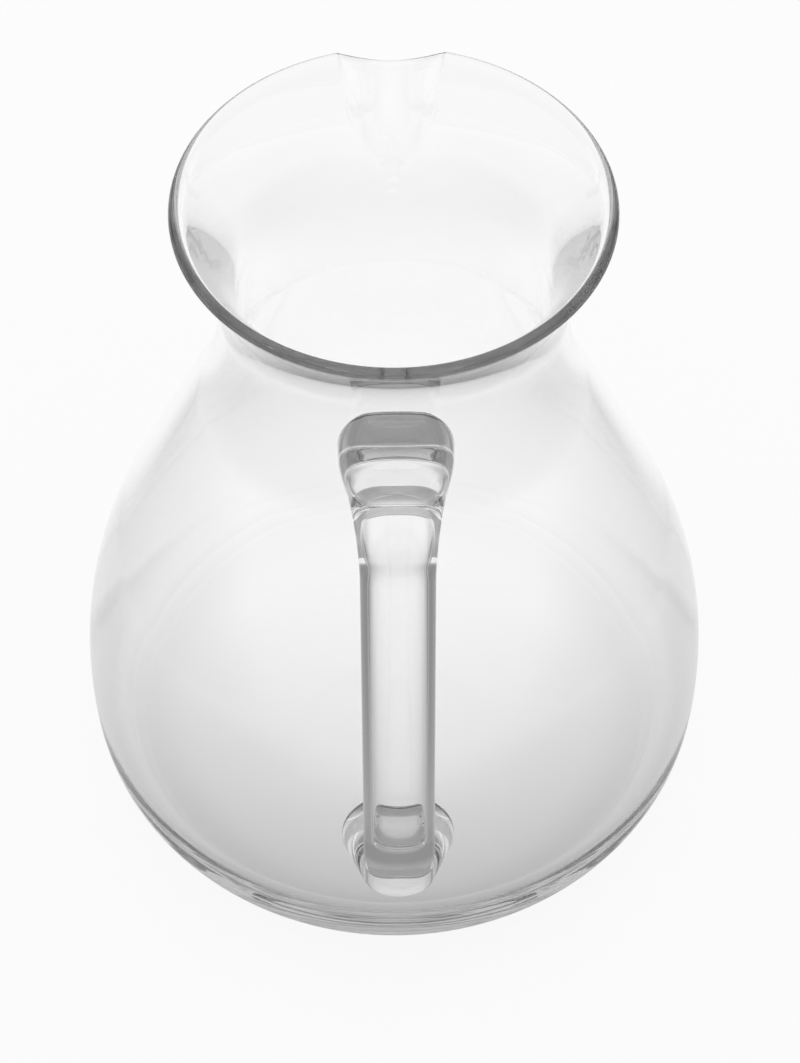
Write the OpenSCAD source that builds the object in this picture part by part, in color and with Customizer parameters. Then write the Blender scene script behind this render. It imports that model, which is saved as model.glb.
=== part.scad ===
// Glass beer pitcher: a blown pear-shaped body with a pulled pouring lip, and a solid strap handle
// Millimetres, +Z up. The origin is the centre of the foot, on the table.
// The handle is on the -Y side and the pouring lip on the +Y side.

/* [Show] */
// Which piece to draw

/* [Body outline] */
// Height from the table to the top of the rim
height = 215.5; // [200:0.5:235]
// Outer diameter of the rim
rim_d = 107.5; // [100:0.5:120]
// Diameter of the fire-polished bead that runs round the rim
rim_bead = 3.1; // [2.8:0.1:4]
// Wall just under the bead of the rim
rim_wall = 2.5; // [1.8:0.1:2.6]
// Outer diameter at the narrowest place of the neck
waist_d = 86; // [78:0.5:94]
// Height of the narrowest place of the neck
waist_z = 179.5; // [172:0.5:184]
// Share of the side that bends between neck and belly, the rest being straight
side_bend = 0.845; // [0.7:0.005:0.95]
// Share of that bend that lies in the shoulder, the rest being in the neck
shoulder_share = 0.61; // [0.5:0.01:0.7]
// Outer diameter at the widest place of the belly
belly_d = 160; // [150:0.5:172]
// Height of the widest place of the belly
belly_z = 49; // [42:0.5:56]
// Diameter of the flat foot
foot_d = 80; // [66:0.5:88]

/* [Glass thickness] */
// Wall at the neck
neck_wall = 5.1; // [3.6:0.1:6]
// Wall at the belly
belly_wall = 2.4; // [2:0.1:4]
// How far the widest place inside lies below the widest place outside
belly_drop = 6.5; // [3:0.5:8]
// Glass under the inside floor
base_wall = 5.5; // [4:0.1:8]
// Diameter of the flat part of the inside floor
floor_d = 80; // [64:0.5:86]
// Depth of the hollow under the foot
punt_depth = 1.6; // [0.8:0.1:2.4]
// Diameter of the hollow under the foot
punt_d = 62; // [50:0.5:70]

/* [Pouring lip] */
// Inner radius of the pulled channel
lip_r = 14.5; // [11:0.5:17]
// Wall of the channel
lip_wall = 2.4; // [1.8:0.1:3]
// How far the lip is pulled out past the rim
lip_reach = 4; // [2:0.5:7]
// How far the bottom of the lip lies below the top of the rim
lip_drop = 8.5; // [6:0.5:11]
// Rise of the channel towards the lip, in degrees
lip_rise = 17; // [8:1:26]

/* [Handle path] */
// Height where the middle of the handle leaves the neck
top_joint_z = 175; // [170:0.5:180]
// Height where the middle of the handle meets the belly
low_joint_z = 68.5; // [62:0.5:76]
// Rise of the handle as it leaves the neck, in degrees
stub_rise = 22; // [8:1:30]
// Lean of the straight grip away from upright, in degrees
grip_lean = 14.6; // [8:0.2:18]
// Distance from the body's axis to the outermost place of the handle's middle line
handle_reach = 99.5; // [96:0.5:110]
// Bend radius at the top of the grip
upper_bend_r = 14; // [12:0.5:18]
// Bend radius at the foot of the grip
lower_bend_r = 20; // [16:0.5:24]

/* [Handle section] */
// Width of the grip at its upper end
grip_w = 18.2; // [16:0.1:22]
// Width of the grip at its lower end
grip_low_w = 17.2; // [15:0.1:22]
// Thickness of the grip
grip_t = 11.5; // [9:0.1:13]
// Width of the pads that are fused to the body
pad_w = 28; // [24:0.5:30]
// Height of the upper pad
top_pad_h = 35; // [28:0.5:38]
// Height of the lower pad
low_pad_h = 28; // [24:0.5:32]
// Length over which the upper end widens into its pad
top_flare = 43; // [36:1:48]
// Length over which the lower end widens into its pad
low_flare = 22; // [18:1:30]
// Length over which either end thickens into its pad
pad_fillet = 17; // [14:1:20]
// Squareness of the grip: 2 is an oval and higher is boxier
grip_power = 2.3; // [2.2:0.1:4.5]

/* [Hidden] */
$fn = 96;
rim_r = rim_d / 2;
bead_r = rim_bead / 2;
bead_x = rim_r - bead_r;
bead_z = height - bead_r;
waist_r = waist_d / 2;
belly_r = belly_d / 2;
foot_r = foot_d / 2;
side = 2 * belly_r;
punt_r = (punt_d * punt_d / 4 + punt_depth * punt_depth) / (2 * punt_depth);
deg = 180 / PI;
// Radii of the hollow neck curve and of the long shoulder curve that passes through the belly
side_w = belly_r - waist_r;
side_h = waist_z - belly_z;
bend_r = side_bend * (side_h * side_h + side_w * side_w) / (2 * side_w);
shoulder_curve_r = shoulder_share * bend_r;
neck_curve_r = bend_r - shoulder_curve_r;
// Neighbouring stretches of an outline lap by this depth over this length, to meet in one clean edge
lap_depth = 0.0005 * belly_r;
lap_length = 0.07 * belly_r;
// Driving sizes of one outline: waist radius and height, neck curve, belly radius and height,
// shoulder curve, flat radius at the bottom and its height, and the offset from the middle of the rim
outside = [waist_r, waist_z, neck_curve_r, belly_r, belly_z, shoulder_curve_r, foot_r, 0, rim_wall / 2];
inside = [
    waist_r - neck_wall, waist_z, neck_curve_r + neck_wall,
    belly_r - belly_wall, belly_z - belly_drop, shoulder_curve_r - belly_wall,
    floor_d / 2, base_wall, -rim_wall / 2
];

function unit(v) = v / norm(v);
// Centre of the shoulder circle and of the neck circle
function shoulder_c(o) = [o[3] - o[5], o[4]];
function neck_c(o) = [o[0] + o[2], o[1]];
// Direction of the touching points of the straight that joins both circles
function join_dir(o) =
    let (d = neck_c(o) - shoulder_c(o), a = atan2(d[1], d[0]) - acos((o[5] + o[2]) / norm(d)))
    [cos(a), sin(a)];
function shoulder_end(o) = shoulder_c(o) + o[5] * join_dir(o);
function neck_end(o) = neck_c(o) - o[2] * join_dir(o);
// Heel circle that is tangent to the bottom and to the shoulder circle
function heel_r(o) =
    let (q = o[4] - o[7], b = o[6] - shoulder_c(o)[0])
    (o[5] * o[5] - q * q - b * b) / (2 * (o[5] - q));
function heel_c(o) = [o[6], o[7] + heel_r(o)];
function heel_end(o) = shoulder_c(o) + o[5] * unit(heel_c(o) - shoulder_c(o));
// Flare circle that is upright at the waist and passes the middle of the rim bead at the offset
function flare_r(o) =
    let (a = o[0] - bead_x, h = bead_z - o[1])
    (a * a + h * h - o[8] * o[8]) / (2 * (o[8] - a));
function flare_c(o) = [o[0] + flare_r(o), o[1]];
function flare_end(o) =
    [bead_x, bead_z] + o[8] * unit(flare_c(o) - [bead_x, bead_z]);

// Surface halfway through the flare, where the gutter is rooted in the wall
middle = [waist_r - neck_wall / 2, waist_z, 0, 0, 0, 0, 0, 0, 0];
// Lowest place of the lip's edge, and the slope of the plane that cuts it
lip_y = rim_r + lip_reach;
lip_z = height - lip_drop;
lip_cut = atan2(bead_z - lip_z, lip_y - bead_x);

// Where the handle leaves the neck, and where its middle line would meet the belly
start = [waist_r, top_joint_z];
lower_c = [handle_reach - lower_bend_r, low_joint_z + lower_bend_r];
belly_x = shoulder_c(outside)[0] + sqrt(pow(shoulder_curve_r, 2) - pow(low_joint_z - belly_z, 2));
// Heading of the grip on its way down, and the direction from the grip towards the body
grip_a = grip_lean - 90;
inward = [-cos(grip_lean), -sin(grip_lean)];
low_start = lower_c - lower_bend_r * inward;
stub_down = [sin(stub_rise), -cos(stub_rise)];
run_1 = (upper_bend_r - (start + upper_bend_r * stub_down - low_start) * inward)
    / (heading(stub_rise) * inward);
upper_c = start + run_1 * heading(stub_rise) + upper_bend_r * stub_down;
run_2 = run_1 + upper_bend_r * (stub_rise - grip_a) / deg;
run_3 = run_2 + norm(low_start - upper_c + upper_bend_r * inward);
run_4 = run_3 + lower_bend_r * (grip_a + 180) / deg;
run_5 = run_4 + lower_c[0] - belly_x;
// How far the swept handle runs on into the body before it is cut to the glass
seat = 0.4 * lower_bend_r;
ring_sides = 28;
ring_count = 66;

// Filled half outline from the bottom up to the waist
module below_waist(o) {
    p = shoulder_end(o);
    q = neck_end(o);
    k = heel_end(o);
    n = join_dir(o);
    top = q + lap_depth * n + lap_length * [-n[1], n[0]];
    translate([0, o[7]]) square([o[6], k[1] - o[7]]);
    intersection() {
        translate(heel_c(o) + [lap_depth, -lap_depth / 20]) circle(heel_r(o));
        translate([0, o[7]]) square([side, k[1] - o[7] + lap_length]);
    }
    intersection() {
        translate(shoulder_c(o)) circle(o[5]);
        translate([0, k[1]]) square([side, p[1] - k[1] + lap_length]);
    }
    polygon([[0, p[1]], p - lap_depth * n, top, [0, top[1]]]);
    difference() {
        translate([0, q[1]]) square([neck_c(o)[0], o[1] - q[1]]);
        translate(neck_c(o)) circle(o[2]);
    }
    translate([0, o[1] - lap_length]) square([o[0] + lap_depth, 2 * lap_length]);
}

// Filled half outline from the waist up to the end of the flare, inside the rim bead
module above_waist(o) {
    difference() {
        translate([0, o[1]]) square([flare_c(o)[0], flare_end(o)[1] - o[1]]);
        translate(flare_c(o)) circle(flare_r(o));
    }
}

module filled(o) {
    below_waist(o);
    above_waist(o);
}

// Cut through the glass, from the foot to the bead
module wall_section() {
    a = flare_end(outside);
    b = flare_end(inside);
    difference() {
        union() {
            below_waist(outside);
            difference() {
                polygon([[0, waist_z], flare_c(outside), a + 4 * (a - b), b, [0, b[1]]]);
                translate(flare_c(outside)) circle(flare_r(outside));
            }
        }
        filled(inside);
        intersection() {
            translate([0, punt_depth - punt_r]) circle(punt_r);
            translate([0, -side]) square([side, side + punt_depth - lap_depth]);
        }
    }
    translate([bead_x, bead_z]) circle(bead_r);
}

// A rod along the pouring channel, which ends past the lip
module along_channel(r, back) {
    translate([0, lip_y, lip_z])
        rotate([lip_rise - 90, 0, 0])
            translate([0, -lip_r, -back])
                cylinder(r = r, h = back + lip_r);
}

// Gutter outside the rim, cut off by the slanting plane of the lip
module gutter() {
    difference() {
        along_channel(lip_r + lip_wall, lip_reach + 2 * lip_r);
        rotate_extrude() above_waist(middle);
        translate([-side / 2, -side / 2, bead_z]) cube(side);
        translate([-side / 2, lip_y, lip_z])
            rotate([-lip_cut, 0, 0])
                translate([0, -side / 2, 0])
                    cube(side);
    }
}

module body() {
    color([0.86, 0.90, 0.90, 0.4])
    difference() {
        union() {
            rotate_extrude() wall_section();
            gutter();
        }
        along_channel(lip_r, lip_y);
    }
}

// Middle line of the handle: distance from the axis, height and heading at a run of s from the neck
function line_at(s) =
    s < run_1 ? concat(start + s * heading(stub_rise), stub_rise)
    : s < run_2 ? let (a = stub_rise - (s - run_1) / upper_bend_r * deg)
        concat(upper_c + upper_bend_r * heading(a + 90), a)
    : s < run_3 ? concat(low_start - (run_3 - s) * heading(grip_a), grip_a)
    : s < run_4 ? let (a = grip_a - (s - run_3) / lower_bend_r * deg)
        concat(lower_c + lower_bend_r * heading(a + 90), a)
    : concat([lower_c[0] - (s - run_4), low_joint_z], -180);
function heading(a) = [cos(a), sin(a)];
function ease(u) = let (t = min(max(u, 0), 1)) t * t * (3 - 2 * t);
function fade(u) = let (t = min(max(1 - u, 0), 1)) t * t;

// Width, thickness and squareness of the handle, from the runs to either end
function width_at(s) =
    grip_w + (grip_low_w - grip_w) * ease(s / run_5)
    + (pad_w - grip_w) * (1 - ease(s / top_flare))
    + (pad_w - grip_low_w) * fade((run_5 - s) / low_flare);
function depth_at(s) =
    grip_t
    + (top_pad_h - grip_t) * fade(s / pad_fillet)
    + (low_pad_h - grip_t) * fade((run_5 - s) / pad_fillet);
function power_at(s) = 2 + (grip_power - 2) * ease(min(s, run_5 - s) / top_flare);
function squared(c, n) = sign(c) * pow(abs(c), 2 / n);
// The sections start flat against the neck and turn square to the middle line
function tilt_at(s) = line_at(s)[2] * ease(s / pad_fillet);

// One closed ring of points across the handle
function ring_at(s) =
    let (m = line_at(s), b = tilt_at(s), w = width_at(s) / 2, t = depth_at(s) / 2, n = power_at(s))
    [
        for (i = [0:ring_sides - 1])
            let (a = 360 * (i + 0.5) / ring_sides, q = t * squared(sin(a), n))
            [w * squared(cos(a), n), -m[0] + q * sin(b), m[1] + q * cos(b)]
    ];

module handle_sweep() {
    last = ring_count - 1;
    rings = [for (k = [0:last]) each ring_at(-seat + (run_5 + 2 * seat) * k / last)];
    function at(k, i) = k * ring_sides + i % ring_sides;
    sides = [
        for (k = [0:last - 1], i = [0:ring_sides - 1])
            each [
                [at(k, i), at(k + 1, i + 1), at(k, i + 1)],
                [at(k, i), at(k + 1, i), at(k + 1, i + 1)]
            ]
    ];
    ends = [[for (i = [0:ring_sides - 1]) i], [for (i = [ring_sides - 1:-1:0]) at(last, i)]];
    polyhedron(points = rings, faces = concat(sides, ends), convexity = 4);
}

module handle() {
    color([0.80, 0.85, 0.85, 0.5])
    difference() {
        handle_sweep();
        rotate_extrude() filled(outside);
    }
}

body();
handle();
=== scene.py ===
# %% [markdown]
# # A blown glass pitcher with a strap handle
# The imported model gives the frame: every size and place below is the same as in the solids.
# Clear glass has no colour of its own to paint, so its look comes from three things that this lesson
# builds in turn: the true thickness of the walls, a dielectric material, and what surrounds the glass.

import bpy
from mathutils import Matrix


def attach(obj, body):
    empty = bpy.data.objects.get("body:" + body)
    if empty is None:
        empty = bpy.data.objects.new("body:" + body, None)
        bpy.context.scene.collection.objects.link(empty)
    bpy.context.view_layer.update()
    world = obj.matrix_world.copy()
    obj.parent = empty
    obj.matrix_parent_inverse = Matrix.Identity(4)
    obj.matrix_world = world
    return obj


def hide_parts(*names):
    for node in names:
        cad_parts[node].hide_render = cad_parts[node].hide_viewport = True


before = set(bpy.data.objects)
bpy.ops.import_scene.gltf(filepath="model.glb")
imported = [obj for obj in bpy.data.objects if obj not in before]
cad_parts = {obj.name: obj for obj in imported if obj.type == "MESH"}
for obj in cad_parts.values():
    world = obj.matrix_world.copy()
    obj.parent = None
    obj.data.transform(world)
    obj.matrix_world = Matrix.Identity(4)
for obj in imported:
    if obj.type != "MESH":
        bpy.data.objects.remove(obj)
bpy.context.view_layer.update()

# %% [markdown]
# ## The camera
# The photograph looks down on the pitcher from behind the handle. The ratio of the rim's height to its
# width in the picture gives the angle, and the belly's width gives the distance.
# A long lens is used because the belly and the rim show little perspective between them.

# %% Place the camera
import math

import bmesh
import bpy
from mathutils import Matrix, Vector

MM = 0.001
PHOTO_H = 1063
FOCAL_PX = 5000
LOOK_DOWN = math.radians(50.44)
TURN = math.radians(0.75)
AIM = Vector((1.5, 0, 93.6)) * MM
CAMERA_FAR = 1282.8 * MM

camera_data = bpy.data.cameras.new("camera")
camera_data.sensor_fit = "VERTICAL"
camera_data.sensor_height = 36
camera_data.lens = FOCAL_PX / PHOTO_H * camera_data.sensor_height
camera = bpy.data.objects.new("camera", camera_data)
bpy.context.scene.collection.objects.link(camera)
bpy.context.scene.camera = camera
level = math.cos(LOOK_DOWN)
sight = Vector((math.sin(TURN) * level, math.cos(TURN) * level, -math.sin(LOOK_DOWN)))
camera.location = AIM - CAMERA_FAR * sight
camera.rotation_euler = sight.to_track_quat("-Z", "Y").to_euler()
print("camera at", [round(c, 3) for c in camera.location], "lens", round(camera_data.lens, 1))

# %% [markdown]
# ## The outline of the glass
# A blown body is round, so a half outline that is spun about the upright axis makes it. The outline is a
# chain of arcs: the heel, the long shoulder curve through the belly, a short straight, the hollow neck
# curve and the flare up to the rim. The inside is the same chain with other radii, because blown glass is
# thick at the neck and thin at the belly.
# Each arc is one vertex swung round the arc's centre, so the outline needs no list of points.

# %% Sizes of the body, in millimetres
HEIGHT, RIM_R, BEAD_R, RIM_WALL = 215.5, 53.75, 1.55, 2.5
WAIST_R, WAIST_Z, BELLY_R, BELLY_Z = 43, 179.5, 80, 49
FOOT_R, FLOOR_R = 40, 40
NECK_WALL, BELLY_WALL, BELLY_DROP, BASE_WALL = 5.1, 2.4, 6.5, 5.5
PUNT_R, PUNT_DEPTH = 31, 1.6
SIDE_BEND, SHOULDER_SHARE = 0.845, 0.61

side_w, side_h = BELLY_R - WAIST_R, WAIST_Z - BELLY_Z
bend_r = SIDE_BEND * (side_h**2 + side_w**2) / (2 * side_w)
SHOULDER_CURVE = SHOULDER_SHARE * bend_r
NECK_CURVE = bend_r - SHOULDER_CURVE
bead = Vector((RIM_R - BEAD_R, HEIGHT - BEAD_R))
print("shoulder curve", round(SHOULDER_CURVE, 1), "neck curve", round(NECK_CURVE, 1))


# %% Work out where the arcs of one side meet
def angle_of(v):
    return math.atan2(v.y, v.x)


def heading(a):
    return Vector((math.cos(a), math.sin(a)))


def outline(waist_r, neck_curve, belly_r, belly_z, shoulder_curve, flat_r, bottom_z, rim_side):
    """Centres, radii and end angles of the arcs of one side of the glass."""
    shoulder = Vector((belly_r - shoulder_curve, belly_z))
    neck = Vector((waist_r + neck_curve, WAIST_Z))
    gap = neck - shoulder
    join = angle_of(gap) - math.acos((shoulder_curve + neck_curve) / gap.length)
    drop, run = belly_z - bottom_z, flat_r - shoulder.x
    heel_r = (shoulder_curve**2 - drop**2 - run**2) / (2 * (shoulder_curve - drop))
    heel = Vector((flat_r, bottom_z + heel_r))
    a, h = waist_r - bead.x, bead.y - WAIST_Z
    flare_r = (a * a + h * h - rim_side**2) / (2 * (rim_side - a))
    flare = Vector((waist_r + flare_r, WAIST_Z))
    swing = math.acos(abs(rim_side) / BEAD_R)
    if rim_side > 0:
        bead_angle = angle_of(flare - bead) - swing
    else:
        bead_angle = angle_of(bead - flare) + swing
    rim = bead + BEAD_R * heading(bead_angle)
    return {
        "heel": heel, "heel_angle": angle_of(heel - shoulder), "heel_r": heel_r, "join": join,
        "shoulder": shoulder, "shoulder_end": shoulder + shoulder_curve * heading(join),
        "neck": neck, "neck_end": neck - neck_curve * heading(join),
        "flare": flare, "flare_r": flare_r, "flare_angle": angle_of(rim - flare), "bead_angle": bead_angle,
    }


outer = outline(WAIST_R, NECK_CURVE, BELLY_R, BELLY_Z, SHOULDER_CURVE, FOOT_R, 0, RIM_WALL / 2)
inner = outline(
    WAIST_R - NECK_WALL, NECK_CURVE + NECK_WALL, BELLY_R - BELLY_WALL, BELLY_Z - BELLY_DROP,
    SHOULDER_CURVE - BELLY_WALL, FLOOR_R, BASE_WALL, -RIM_WALL / 2,
)
print("heel radius outside", round(outer["heel_r"], 1), "inside", round(inner["heel_r"], 1))


# %% Tools that swing and extrude a vertex
def swing_arc(bm, vert, centre, turn, steps):
    """Swings a vertex round a centre in the XZ plane by an angle in radians. Returns the arc's far end."""
    made = bmesh.ops.spin(
        bm, geom=[vert], cent=(centre.x, 0, centre.y), axis=(0, -1, 0), angle=turn, steps=steps,
    )
    return [part for part in made["geom_last"] if isinstance(part, bmesh.types.BMVert)][0]


def run_straight(bm, vert, point, steps):
    """Extrudes a vertex in equal steps to a point of the XZ plane. Returns the new end."""
    begin, finish = vert.co.copy(), Vector((point.x, 0, point.y))
    for k in range(1, steps + 1):
        vert = bmesh.ops.extrude_vert_indiv(bm, verts=[vert])["verts"][0]
        vert.co = begin.lerp(finish, k / steps)
    return vert


# %% Draw the half outline, from the hollow under the foot round to the inside floor
PUNT_STEPS, FOOT_STEPS, HEEL_STEPS, SHOULDER_STEPS, STRAIGHT_STEPS = 12, 5, 30, 26, 11
NECK_STEPS, FLARE_STEPS, BEAD_STEPS, FLOOR_STEPS = 14, 30, 22, 9

body_bm = bmesh.new()
punt_curve = (PUNT_R**2 + PUNT_DEPTH**2) / (2 * PUNT_DEPTH)
punt_angle = math.asin(PUNT_R / punt_curve)
end = body_bm.verts.new((0, 0, PUNT_DEPTH))
end = swing_arc(body_bm, end, Vector((0, PUNT_DEPTH - punt_curve)), -punt_angle, PUNT_STEPS)
end = run_straight(body_bm, end, Vector((FOOT_R, 0)), FOOT_STEPS)
end = swing_arc(body_bm, end, outer["heel"], math.pi / 2 + outer["heel_angle"], HEEL_STEPS)
end = swing_arc(body_bm, end, outer["shoulder"], outer["join"] - outer["heel_angle"], SHOULDER_STEPS)
end = run_straight(body_bm, end, outer["neck_end"], STRAIGHT_STEPS)
end = swing_arc(body_bm, end, outer["neck"], -outer["join"], NECK_STEPS)
end = swing_arc(body_bm, end, outer["flare"], outer["flare_angle"] - math.pi, FLARE_STEPS)
end = swing_arc(body_bm, end, bead, inner["bead_angle"] - outer["bead_angle"], BEAD_STEPS)
end = swing_arc(body_bm, end, inner["flare"], math.pi - inner["flare_angle"], FLARE_STEPS)
end = swing_arc(body_bm, end, inner["neck"], inner["join"], NECK_STEPS)
end = run_straight(body_bm, end, inner["shoulder_end"], STRAIGHT_STEPS)
end = swing_arc(body_bm, end, inner["shoulder"], inner["heel_angle"] - inner["join"], SHOULDER_STEPS)
end = swing_arc(body_bm, end, inner["heel"], -math.pi / 2 - inner["heel_angle"], HEEL_STEPS)
end = run_straight(body_bm, end, Vector((0, BASE_WALL)), FLOOR_STEPS)
print("outline", len(body_bm.verts), "points, ends at", [round(c, 3) for c in end.co])

# %% [markdown]
# A fire-polished rim runs smoothly into the wall, so the few points where the bead meets the flare are
# relaxed before the outline is spun.

# %% Relax the joint between bead and wall
RELAX_NEAR, RELAX_ROUNDS, RELAX_SHARE = 1.1, 4, 0.5

seams = [bead + BEAD_R * heading(side["bead_angle"]) for side in (outer, inner)]
near_bead = [
    v for v in body_bm.verts
    if min((Vector((v.co.x, v.co.z)) - seam).length for seam in seams) < RELAX_NEAR
]
for _ in range(RELAX_ROUNDS):
    bmesh.ops.smooth_vert(
        body_bm, verts=near_bead, factor=RELAX_SHARE, use_axis_x=True, use_axis_z=True,
    )
print("relaxed", len(near_bead), "points")

# %% [markdown]
# ## Spinning the body
# The outline is spun in two goes: small steps across the pouring lip, which is about to be pulled out of
# the rim, and wider steps round the rest. The doubles at the seam and at the two poles are merged, and the
# normals are recalculated once the skin is closed.

# %% Spin the outline
LIP_SECTOR = math.radians(44)
LIP_STEPS, ROUND_STEPS = 88, 126
MERGE = 0.001
up = (0, 0, 1)

bmesh.ops.rotate(
    body_bm, verts=body_bm.verts, cent=(0, 0, 0),
    matrix=Matrix.Rotation(math.pi / 2 - LIP_SECTOR / 2, 3, "Z"),
)
first = bmesh.ops.spin(
    body_bm, geom=body_bm.verts[:] + body_bm.edges[:], cent=(0, 0, 0), axis=up,
    angle=LIP_SECTOR, steps=LIP_STEPS,
)
bmesh.ops.spin(
    body_bm, geom=first["geom_last"], cent=(0, 0, 0), axis=up,
    angle=2 * math.pi - LIP_SECTOR, steps=ROUND_STEPS,
)
bmesh.ops.remove_doubles(body_bm, verts=body_bm.verts, dist=MERGE)
bmesh.ops.recalc_face_normals(body_bm, faces=body_bm.faces)


def describe(name, bm):
    """Prints how big a mesh is and whether its skin is closed."""
    open_edges = sum(not e.is_manifold for e in bm.edges)
    print(name, len(bm.faces), "faces,", open_edges, "open edges,", round(bm.calc_volume()), "mm3")


describe("body", body_bm)

# %% [markdown]
# ## Pulling the lip
# On the real pitcher the soft rim is pulled out and down with a tool. The same move is made here on the
# vertices: full at the middle of the lip, none at its two corners, and fading down the neck.

# %% Pull the pouring lip
LIP_OUT, LIP_DOWN = 4.0, 8.4
LIP_HALF, LIP_CURVE = 13.5, 1.1
LIP_FOOT, LIP_NARROW = 186, 0.45


def ease(t):
    t = min(max(t, 0), 1)
    return t * t * (3 - 2 * t)


def lip_pull(co):
    """How far a point of the rim goes with the tool, from 0 to 1. The lip narrows towards its foot."""
    if co.y < 0 or co.z < LIP_FOOT:
        return 0
    lift = (co.z - LIP_FOOT) / (HEIGHT - LIP_FOOT)
    half = LIP_HALF * (LIP_NARROW + (1 - LIP_NARROW) * lift)
    across = min(abs(co.x) / half, 1)
    return ease(lift) * (1 - across**2) ** LIP_CURVE


pulled = 0
for v in body_bm.verts:
    share = lip_pull(v.co)
    if share > 0:
        v.co += share * Vector((0, LIP_OUT, -LIP_DOWN))
        pulled += 1
print("pulled", pulled, "points")


# %% Turn a mesh in millimetres into a piece
def finish_piece(bm, name, node):
    """Scales a bmesh to metres, makes it a smooth object and lets it stand for its CAD node."""
    bmesh.ops.scale(bm, vec=(MM, MM, MM), verts=bm.verts)
    for face in bm.faces:
        face.smooth = True
    mesh = bpy.data.meshes.new(name)
    bm.to_mesh(mesh)
    bm.free()
    piece = bpy.data.objects.new(name, mesh)
    bpy.context.scene.collection.objects.link(piece)
    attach(piece, "root")
    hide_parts(node)
    return piece


body = finish_piece(body_bm, "blown_body", "body")
print(body.name, [round(d / MM, 1) for d in body.dimensions])

# %% [markdown]
# ## The handle
# The handle is a solid strap, bent while hot and pressed on at the neck and the belly, where it spreads
# into two pads. One ring of vertices is extruded along the strap's middle line, and each new ring is set
# to the width, thickness and squareness of that place. The ends follow the wall of the body and sink a
# little way into it, because fused glass has no skin between the two pieces.

# %% Sizes of the handle, in millimetres
TOP_Z, LOW_Z, REACH = 175, 68.5, 99.5
STUB_RISE, GRIP_LEAN = math.radians(22), math.radians(14.6)
UPPER_BEND, LOWER_BEND = 14, 20
GRIP_W, GRIP_LOW_W, GRIP_T, GRIP_POWER = 18.2, 17.2, 11.5, 2.3
PAD_W, TOP_PAD_H, LOW_PAD_H = 28, 35, 28
TOP_FLARE, LOW_FLARE, PAD_FILLET = 43, 22, 17

start = Vector((WAIST_R, TOP_Z))
low_centre = Vector((REACH - LOWER_BEND, LOW_Z + LOWER_BEND))
grip_dir = GRIP_LEAN - math.pi / 2
inward = -heading(GRIP_LEAN)
low_start = low_centre - LOWER_BEND * inward
stub_down = heading(STUB_RISE - math.pi / 2)
to_grip = UPPER_BEND - (start + UPPER_BEND * stub_down - low_start).dot(inward)
run_1 = to_grip / heading(STUB_RISE).dot(inward)
up_centre = start + run_1 * heading(STUB_RISE) + UPPER_BEND * stub_down
run_2 = run_1 + UPPER_BEND * (STUB_RISE - grip_dir)
run_3 = run_2 + (low_start - up_centre + UPPER_BEND * inward).length
run_4 = run_3 + LOWER_BEND * (grip_dir + math.pi)
belly_x = outer["shoulder"].x + math.sqrt(SHOULDER_CURVE**2 - (LOW_Z - BELLY_Z) ** 2)
run_5 = run_4 + low_centre.x - belly_x
print("strap length", round(run_5, 1), "mm, of which the straight grip", round(run_3 - run_2, 1))


# %% Follow the middle line of the strap
def line_at(s):
    """Place and heading on the middle line, at a run of s from the neck."""
    if s < run_1:
        return start + s * heading(STUB_RISE), STUB_RISE
    if s < run_2:
        a = STUB_RISE - (s - run_1) / UPPER_BEND
        return up_centre + UPPER_BEND * heading(a + math.pi / 2), a
    if s < run_3:
        return low_start - (run_3 - s) * heading(grip_dir), grip_dir
    if s < run_4:
        a = grip_dir - (s - run_3) / LOWER_BEND
        return low_centre + LOWER_BEND * heading(a + math.pi / 2), a
    return Vector((low_centre.x - (s - run_4), LOW_Z)), -math.pi


def fade(t):
    return min(max(1 - t, 0), 1) ** 2


def squared(c, n):
    return math.copysign(abs(c) ** (2 / n), c)


def strap_point(s, turn):
    """A point on the strap's skin, at a run of s and an angle round the section."""
    middle, a = line_at(s)
    left = run_5 - s
    tilt = a * ease(s / PAD_FILLET)
    width = GRIP_W + (GRIP_LOW_W - GRIP_W) * ease(s / run_5)
    width += (PAD_W - GRIP_W) * (1 - ease(s / TOP_FLARE)) + (PAD_W - GRIP_LOW_W) * fade(left / LOW_FLARE)
    depth = GRIP_T + (TOP_PAD_H - GRIP_T) * fade(s / PAD_FILLET)
    depth += (LOW_PAD_H - GRIP_T) * fade(left / PAD_FILLET)
    power = 2 + (GRIP_POWER - 2) * ease(min(s, left) / TOP_FLARE)
    p = width / 2 * squared(math.cos(turn), power)
    q = depth / 2 * squared(math.sin(turn), power)
    return Vector((p, -middle.x + q * math.sin(tilt), middle.y + q * math.cos(tilt)))


# %% Find the wall that the pads sit on
EMBED = 0.25
HALVINGS = 40


def wall_radius(z):
    """Outer radius of the body at a height between the heel and the rim."""
    if z < outer["shoulder_end"].y:
        return outer["shoulder"].x + math.sqrt(SHOULDER_CURVE**2 - (z - outer["shoulder"].y) ** 2)
    if z < outer["neck_end"].y:
        t = (z - outer["shoulder_end"].y) / (outer["neck_end"].y - outer["shoulder_end"].y)
        return outer["shoulder_end"].lerp(outer["neck_end"], t).x
    if z < WAIST_Z:
        return outer["neck"].x - math.sqrt(NECK_CURVE**2 - (z - WAIST_Z) ** 2)
    return outer["flare"].x - math.sqrt(outer["flare_r"] ** 2 - (z - WAIST_Z) ** 2)


def above_wall(p):
    return math.hypot(p.x, p.y) - wall_radius(p.z) + EMBED


def seat_run(turn, inside, outside):
    """Run at which one line along the strap meets the wall, found by halving."""
    for _ in range(HALVINGS):
        half = (inside + outside) / 2
        if above_wall(strap_point(half, turn)) > 0:
            outside = half
        else:
            inside = half
    return inside


# %% Extrude the strap ring by ring
RING, STATIONS, CAP_RINGS = 56, 150, 9
SEAT_IN, SEAT_OUT = 8, 14

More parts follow.
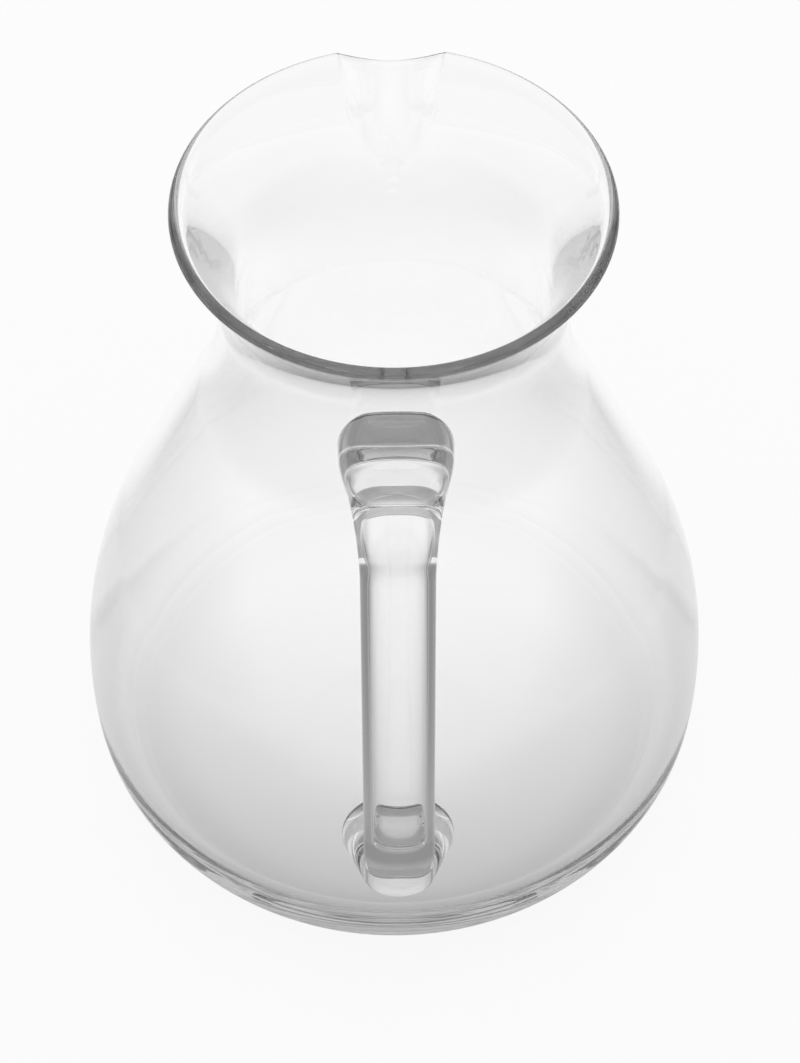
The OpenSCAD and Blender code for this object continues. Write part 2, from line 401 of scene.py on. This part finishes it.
handle_bm = bmesh.new()
ring = bmesh.ops.create_circle(handle_bm, cap_ends=False, radius=1, segments=RING)["verts"]
turns = [2 * math.pi * (k + 0.5) / RING for k in range(RING)]
spans = [
    (seat_run(t, -SEAT_IN, SEAT_OUT), seat_run(t, run_5 + SEAT_IN, run_5 - SEAT_OUT)) for t in turns
]


def extrude_ring(bm, ring):
    """Extrudes a closed ring of vertices and returns the new ring in the same order."""
    edges = [bm.edges.get((a, b)) for a, b in zip(ring, ring[1:] + ring[:1])]
    made = bmesh.ops.extrude_edge_only(bm, edges=edges)["geom"]
    fresh = {v for v in made if isinstance(v, bmesh.types.BMVert)}
    return [next(e.other_vert(v) for e in v.link_edges if e.other_vert(v) in fresh) for v in ring]


def close_end(bm, ring):
    """Closes an end with smaller and smaller rings that lie along the wall."""
    centre = sum((v.co for v in ring), Vector()) / len(ring)
    edge = [v.co.copy() for v in ring]
    for k in range(1, CAP_RINGS + 1):
        ring = extrude_ring(bm, ring)
        for v, co in zip(ring, edge):
            p = co.lerp(centre, k / (CAP_RINGS + 1))
            r = wall_radius(p.z) - EMBED
            v.co = (p.x, -math.sqrt(r * r - p.x**2), p.z)
    bm.faces.new(ring)


rings = [ring]
for _ in range(1, STATIONS):
    rings.append(extrude_ring(handle_bm, rings[-1]))
for k, ring in enumerate(rings):
    for v, turn, (first_run, last_run) in zip(ring, turns, spans):
        v.co = strap_point(first_run + (last_run - first_run) * k / (STATIONS - 1), turn)
close_end(handle_bm, rings[0])
close_end(handle_bm, rings[-1])
bmesh.ops.recalc_face_normals(handle_bm, faces=handle_bm.faces)
describe("handle", handle_bm)
handle = finish_piece(handle_bm, "strap_handle", "handle")
print(handle.name, [round(d / MM, 1) for d in handle.dimensions])

# %% [markdown]
# ## The glass
# Soda-lime glass has an index of refraction of about 1.52. A fire-polished skin is very smooth, and hand
# work leaves it faintly wavy. Thick places look darker because glass swallows a little light on the way
# through, so that is given to the inside of the mesh as absorption and not painted on the skin.

# %% Colours and nodes
def linear(hex_text):
    """An sRGB hex colour as linear RGBA."""
    channels = [int(hex_text[k : k + 2], 16) / 255 for k in (1, 3, 5)]
    return [c / 12.92 if c <= 0.04045 else ((c + 0.055) / 1.055) ** 2.4 for c in channels] + [1]


def add_node(tree, kind, settings=(), links=()):
    """Adds one node, sets its properties or sockets by name and links sockets to outputs."""
    node = tree.nodes.new(kind)
    for name, value in dict(settings).items():
        if isinstance(name, int) or name in node.inputs:
            node.inputs[name].default_value = value
        else:
            setattr(node, name, value)
    for name, output in dict(links).items():
        tree.links.new(output, node.inputs[name])
    return node


# %% Soda-lime glass
IOR = 1.52
WAVE_MM, WAVE_HEIGHT_MM = 34, 0.012
BLOWN_ABSORB, STRAP_ABSORB = 2.5, 3


# It gives the eye sharp clear walls with dark edges, and greyer places where the glass is thick.
# Blender absorbs Density times one minus the colour; this grey is one half, so Density is doubled.
def soda_lime_glass(name, absorb):
    """Clear glass with a faintly wavy fire-polished skin. absorb is the absorption per metre."""
    material = bpy.data.materials.new(name)
    material.use_nodes = True
    tree = material.node_tree
    tree.nodes.clear()
    place = add_node(tree, "ShaderNodeTexCoord")
    wave = add_node(
        tree, "ShaderNodeTexNoise", {"Scale": 1 / (WAVE_MM * MM), "Detail": 1.0, "Roughness": 0.4},
        {"Vector": place.outputs["Object"]},
    )
    skin = add_node(
        tree, "ShaderNodeBump", {"Strength": 1.0, "Distance": WAVE_HEIGHT_MM * MM},
        {"Height": wave.outputs["Fac"]},
    )
    glass = add_node(
        tree, "ShaderNodeBsdfPrincipled",
        {"Base Color": linear("#ffffff"), "Roughness": 0.0, "IOR": IOR, "Transmission Weight": 1.0},
        {"Normal": skin.outputs["Normal"]},
    )
    inside = add_node(
        tree, "ShaderNodeVolumeAbsorption", {"Color": linear("#bcbcbc"), "Density": 2 * absorb},
    )
    add_node(
        tree, "ShaderNodeOutputMaterial", {},
        {"Surface": glass.outputs["BSDF"], "Volume": inside.outputs["Volume"]},
    )
    return material


body.data.materials.append(soda_lime_glass("soda_lime_glass_blown", BLOWN_ABSORB))
handle.data.materials.append(soda_lime_glass("soda_lime_glass_strap", STRAP_ABSORB))
print("materials", [m.name for m in bpy.data.materials])

# %% [markdown]
# ## The stage
# Clear glass shows little but what stands behind it, so the table makes most of the picture. The camera sees
# a plain white table. The glass sees the same table with painted light on it: a painted pool of light lies
# behind the pitcher and the table is white again further out, but close in front, as a painted shadow of the
# pitcher, and to the left and right of the camera it has painted shade. That shades the belly from top to
# bottom, and the thick edges and the sides of the strap, which bend the view far aside, pick up the painted
# shade as dark lines. The diffuse paint adds the real soft shadow.

# %% White table
TABLE_R, TABLE_GAP = 6.0, 0.3 * MM

table_bm = bmesh.new()
bmesh.ops.create_circle(table_bm, cap_ends=True, radius=TABLE_R, segments=128)
bmesh.ops.translate(table_bm, verts=table_bm.verts, vec=(0, 0, -TABLE_GAP))
table_mesh = bpy.data.meshes.new("white_table")
table_bm.to_mesh(table_mesh)
table_bm.free()
table = bpy.data.objects.new("white_table", table_mesh)
bpy.context.scene.collection.objects.link(table)
print("table", 2 * TABLE_R, "m across")

# %% Places on the table, with left and right folded together
# A matt white top that gives the eye a plain ground and gives the glass something to bend: a painted pool of
# light and painted shade.
white = bpy.data.materials.new("table_top_painted_pool_and_shade")
white.use_nodes = True
tree = white.node_tree
tree.nodes.clear()
place = add_node(tree, "ShaderNodeTexCoord")
axes = add_node(tree, "ShaderNodeSeparateXYZ", {}, {0: place.outputs["Object"]})
aside = add_node(tree, "ShaderNodeMath", {"operation": "ABSOLUTE"}, {0: axes.outputs["X"]})
folded = add_node(tree, "ShaderNodeCombineXYZ", {}, {"X": aside.outputs[0], "Y": axes.outputs["Y"]})


def soft_oval(centre, half, edge, inside, outside):
    """Goes from inside to outside across an oval's edge, which is given in shares of its half sizes."""
    oval = add_node(
        tree, "ShaderNodeMapping",
        {"vector_type": "TEXTURE", "Location": (*centre, 0), "Scale": (*half, 1)},
        {"Vector": folded.outputs[0]},
    )
    reach = add_node(tree, "ShaderNodeVectorMath", {"operation": "LENGTH"}, {0: oval.outputs["Vector"]})
    level = add_node(
        tree, "ShaderNodeMapRange",
        {
            "interpolation_type": "SMOOTHSTEP", "From Min": edge[0], "From Max": edge[1],
            "To Min": inside, "To Max": outside,
        },
        {"Value": reach.outputs["Value"]},
    )
    return level.outputs["Result"]


def maths(operation, first_value, second_value):
    """A Math node of two outputs."""
    node = add_node(tree, "ShaderNodeMath", {"operation": operation}, {0: first_value, 1: second_value})
    return node.outputs[0]


# %% Painted pool of light and painted shade
# A painted pool of light behind the pitcher, painted shade close in front that stands in for its shadow, and
# painted shade to either side.
PAINTED_SHADE_FRONT, PAINTED_SHADE_ASIDE = 0.25, 0.2
# Each place is a centre and half sizes in metres, and where the soft edge starts and ends
PAINTED_POOL_PLACE = (0, 0.2), (0.275, 0.345), (0.4, 1.0)
PAINTED_FRONT_SHADE_PLACE = (0, -0.12), (0.25, 0.22), (0.5, 1.4)
PAINTED_SIDE_SHADE_PLACE = (0.28, -0.13), (0.26, 0.32), (0.3, 1.5)

pool = soft_oval(*PAINTED_POOL_PLACE, inside=1.0, outside=PAINTED_SHADE_ASIDE)
front = soft_oval(*PAINTED_FRONT_SHADE_PLACE, inside=PAINTED_SHADE_FRONT, outside=1.0)
painted_side_shade = soft_oval(*PAINTED_SIDE_SHADE_PLACE, inside=PAINTED_SHADE_ASIDE, outside=1.0)
light = maths("MAXIMUM", pool, maths("MINIMUM", front, painted_side_shade))
print("table light from", PAINTED_SHADE_ASIDE, "to 1")

# %% Which rays see the painted light and shade and which see plain white
TABLE_GLOW = 0.9

path = add_node(tree, "ShaderNodeLightPath").outputs
# Glossy and transmission rays see the painted pool of light and painted shade; camera rays see plain white.
glass_ray = maths("MAXIMUM", path["Is Glossy Ray"], path["Is Transmission Ray"])
seen = maths("MAXIMUM", path["Is Camera Ray"], maths("MULTIPLY", glass_ray, light))
power = add_node(tree, "ShaderNodeMath", {"operation": "MULTIPLY", 1: TABLE_GLOW}, {0: seen})
glow = add_node(tree, "ShaderNodeEmission", {"Color": linear("#ffffff")}, {"Strength": power.outputs[0]})
paint = add_node(tree, "ShaderNodeBsdfDiffuse", {"Color": linear("#5a5a5a")})
both = add_node(tree, "ShaderNodeAddShader", {}, {0: glow.outputs[0], 1: paint.outputs[0]})
add_node(tree, "ShaderNodeOutputMaterial", {}, {"Surface": both.outputs[0]})
table.data.materials.append(white)
print("table top", white.name, "with", len(tree.nodes), "nodes")

# %% [markdown]
# ## Surroundings
# The room is dim round the walls and bright overhead, like a studio with a white ceiling. The rim and the
# pads mirror the walls. The ceiling is wide enough to lay a soft shadow on the table by itself, so the stage
# needs no lamp.

# %% Room
WALLS, CEILING = 0.4, 0.9
WALL_TOP, CEILING_EDGE = 0.3, 0.8

world = bpy.data.worlds.new("room")
bpy.context.scene.world = world
world.use_nodes = True
tree = world.node_tree
tree.nodes.clear()
place = add_node(tree, "ShaderNodeTexCoord")
axes = add_node(tree, "ShaderNodeSeparateXYZ", {}, {0: place.outputs["Generated"]})
rise = add_node(
    tree, "ShaderNodeMapRange",
    {
        "interpolation_type": "SMOOTHSTEP", "From Min": WALL_TOP, "From Max": CEILING_EDGE,
        "To Min": WALLS, "To Max": CEILING,
    },
    {"Value": axes.outputs["Z"]},
)
back = add_node(
    tree, "ShaderNodeBackground", {"Color": linear("#ffffff")}, {"Strength": rise.outputs["Result"]},
)
add_node(tree, "ShaderNodeOutputWorld", {}, {"Surface": back.outputs[0]})
print("room from", WALLS, "at the walls to", CEILING, "overhead")

# %% View settings and bounces
BOUNCES = 64
scene = bpy.context.scene
scene.view_settings.view_transform = "Standard"
scene.cycles.max_bounces = BOUNCES
scene.cycles.transmission_bounces = BOUNCES
scene.cycles.glossy_bounces = BOUNCES
print("view transform", scene.view_settings.view_transform, "bounces", BOUNCES)
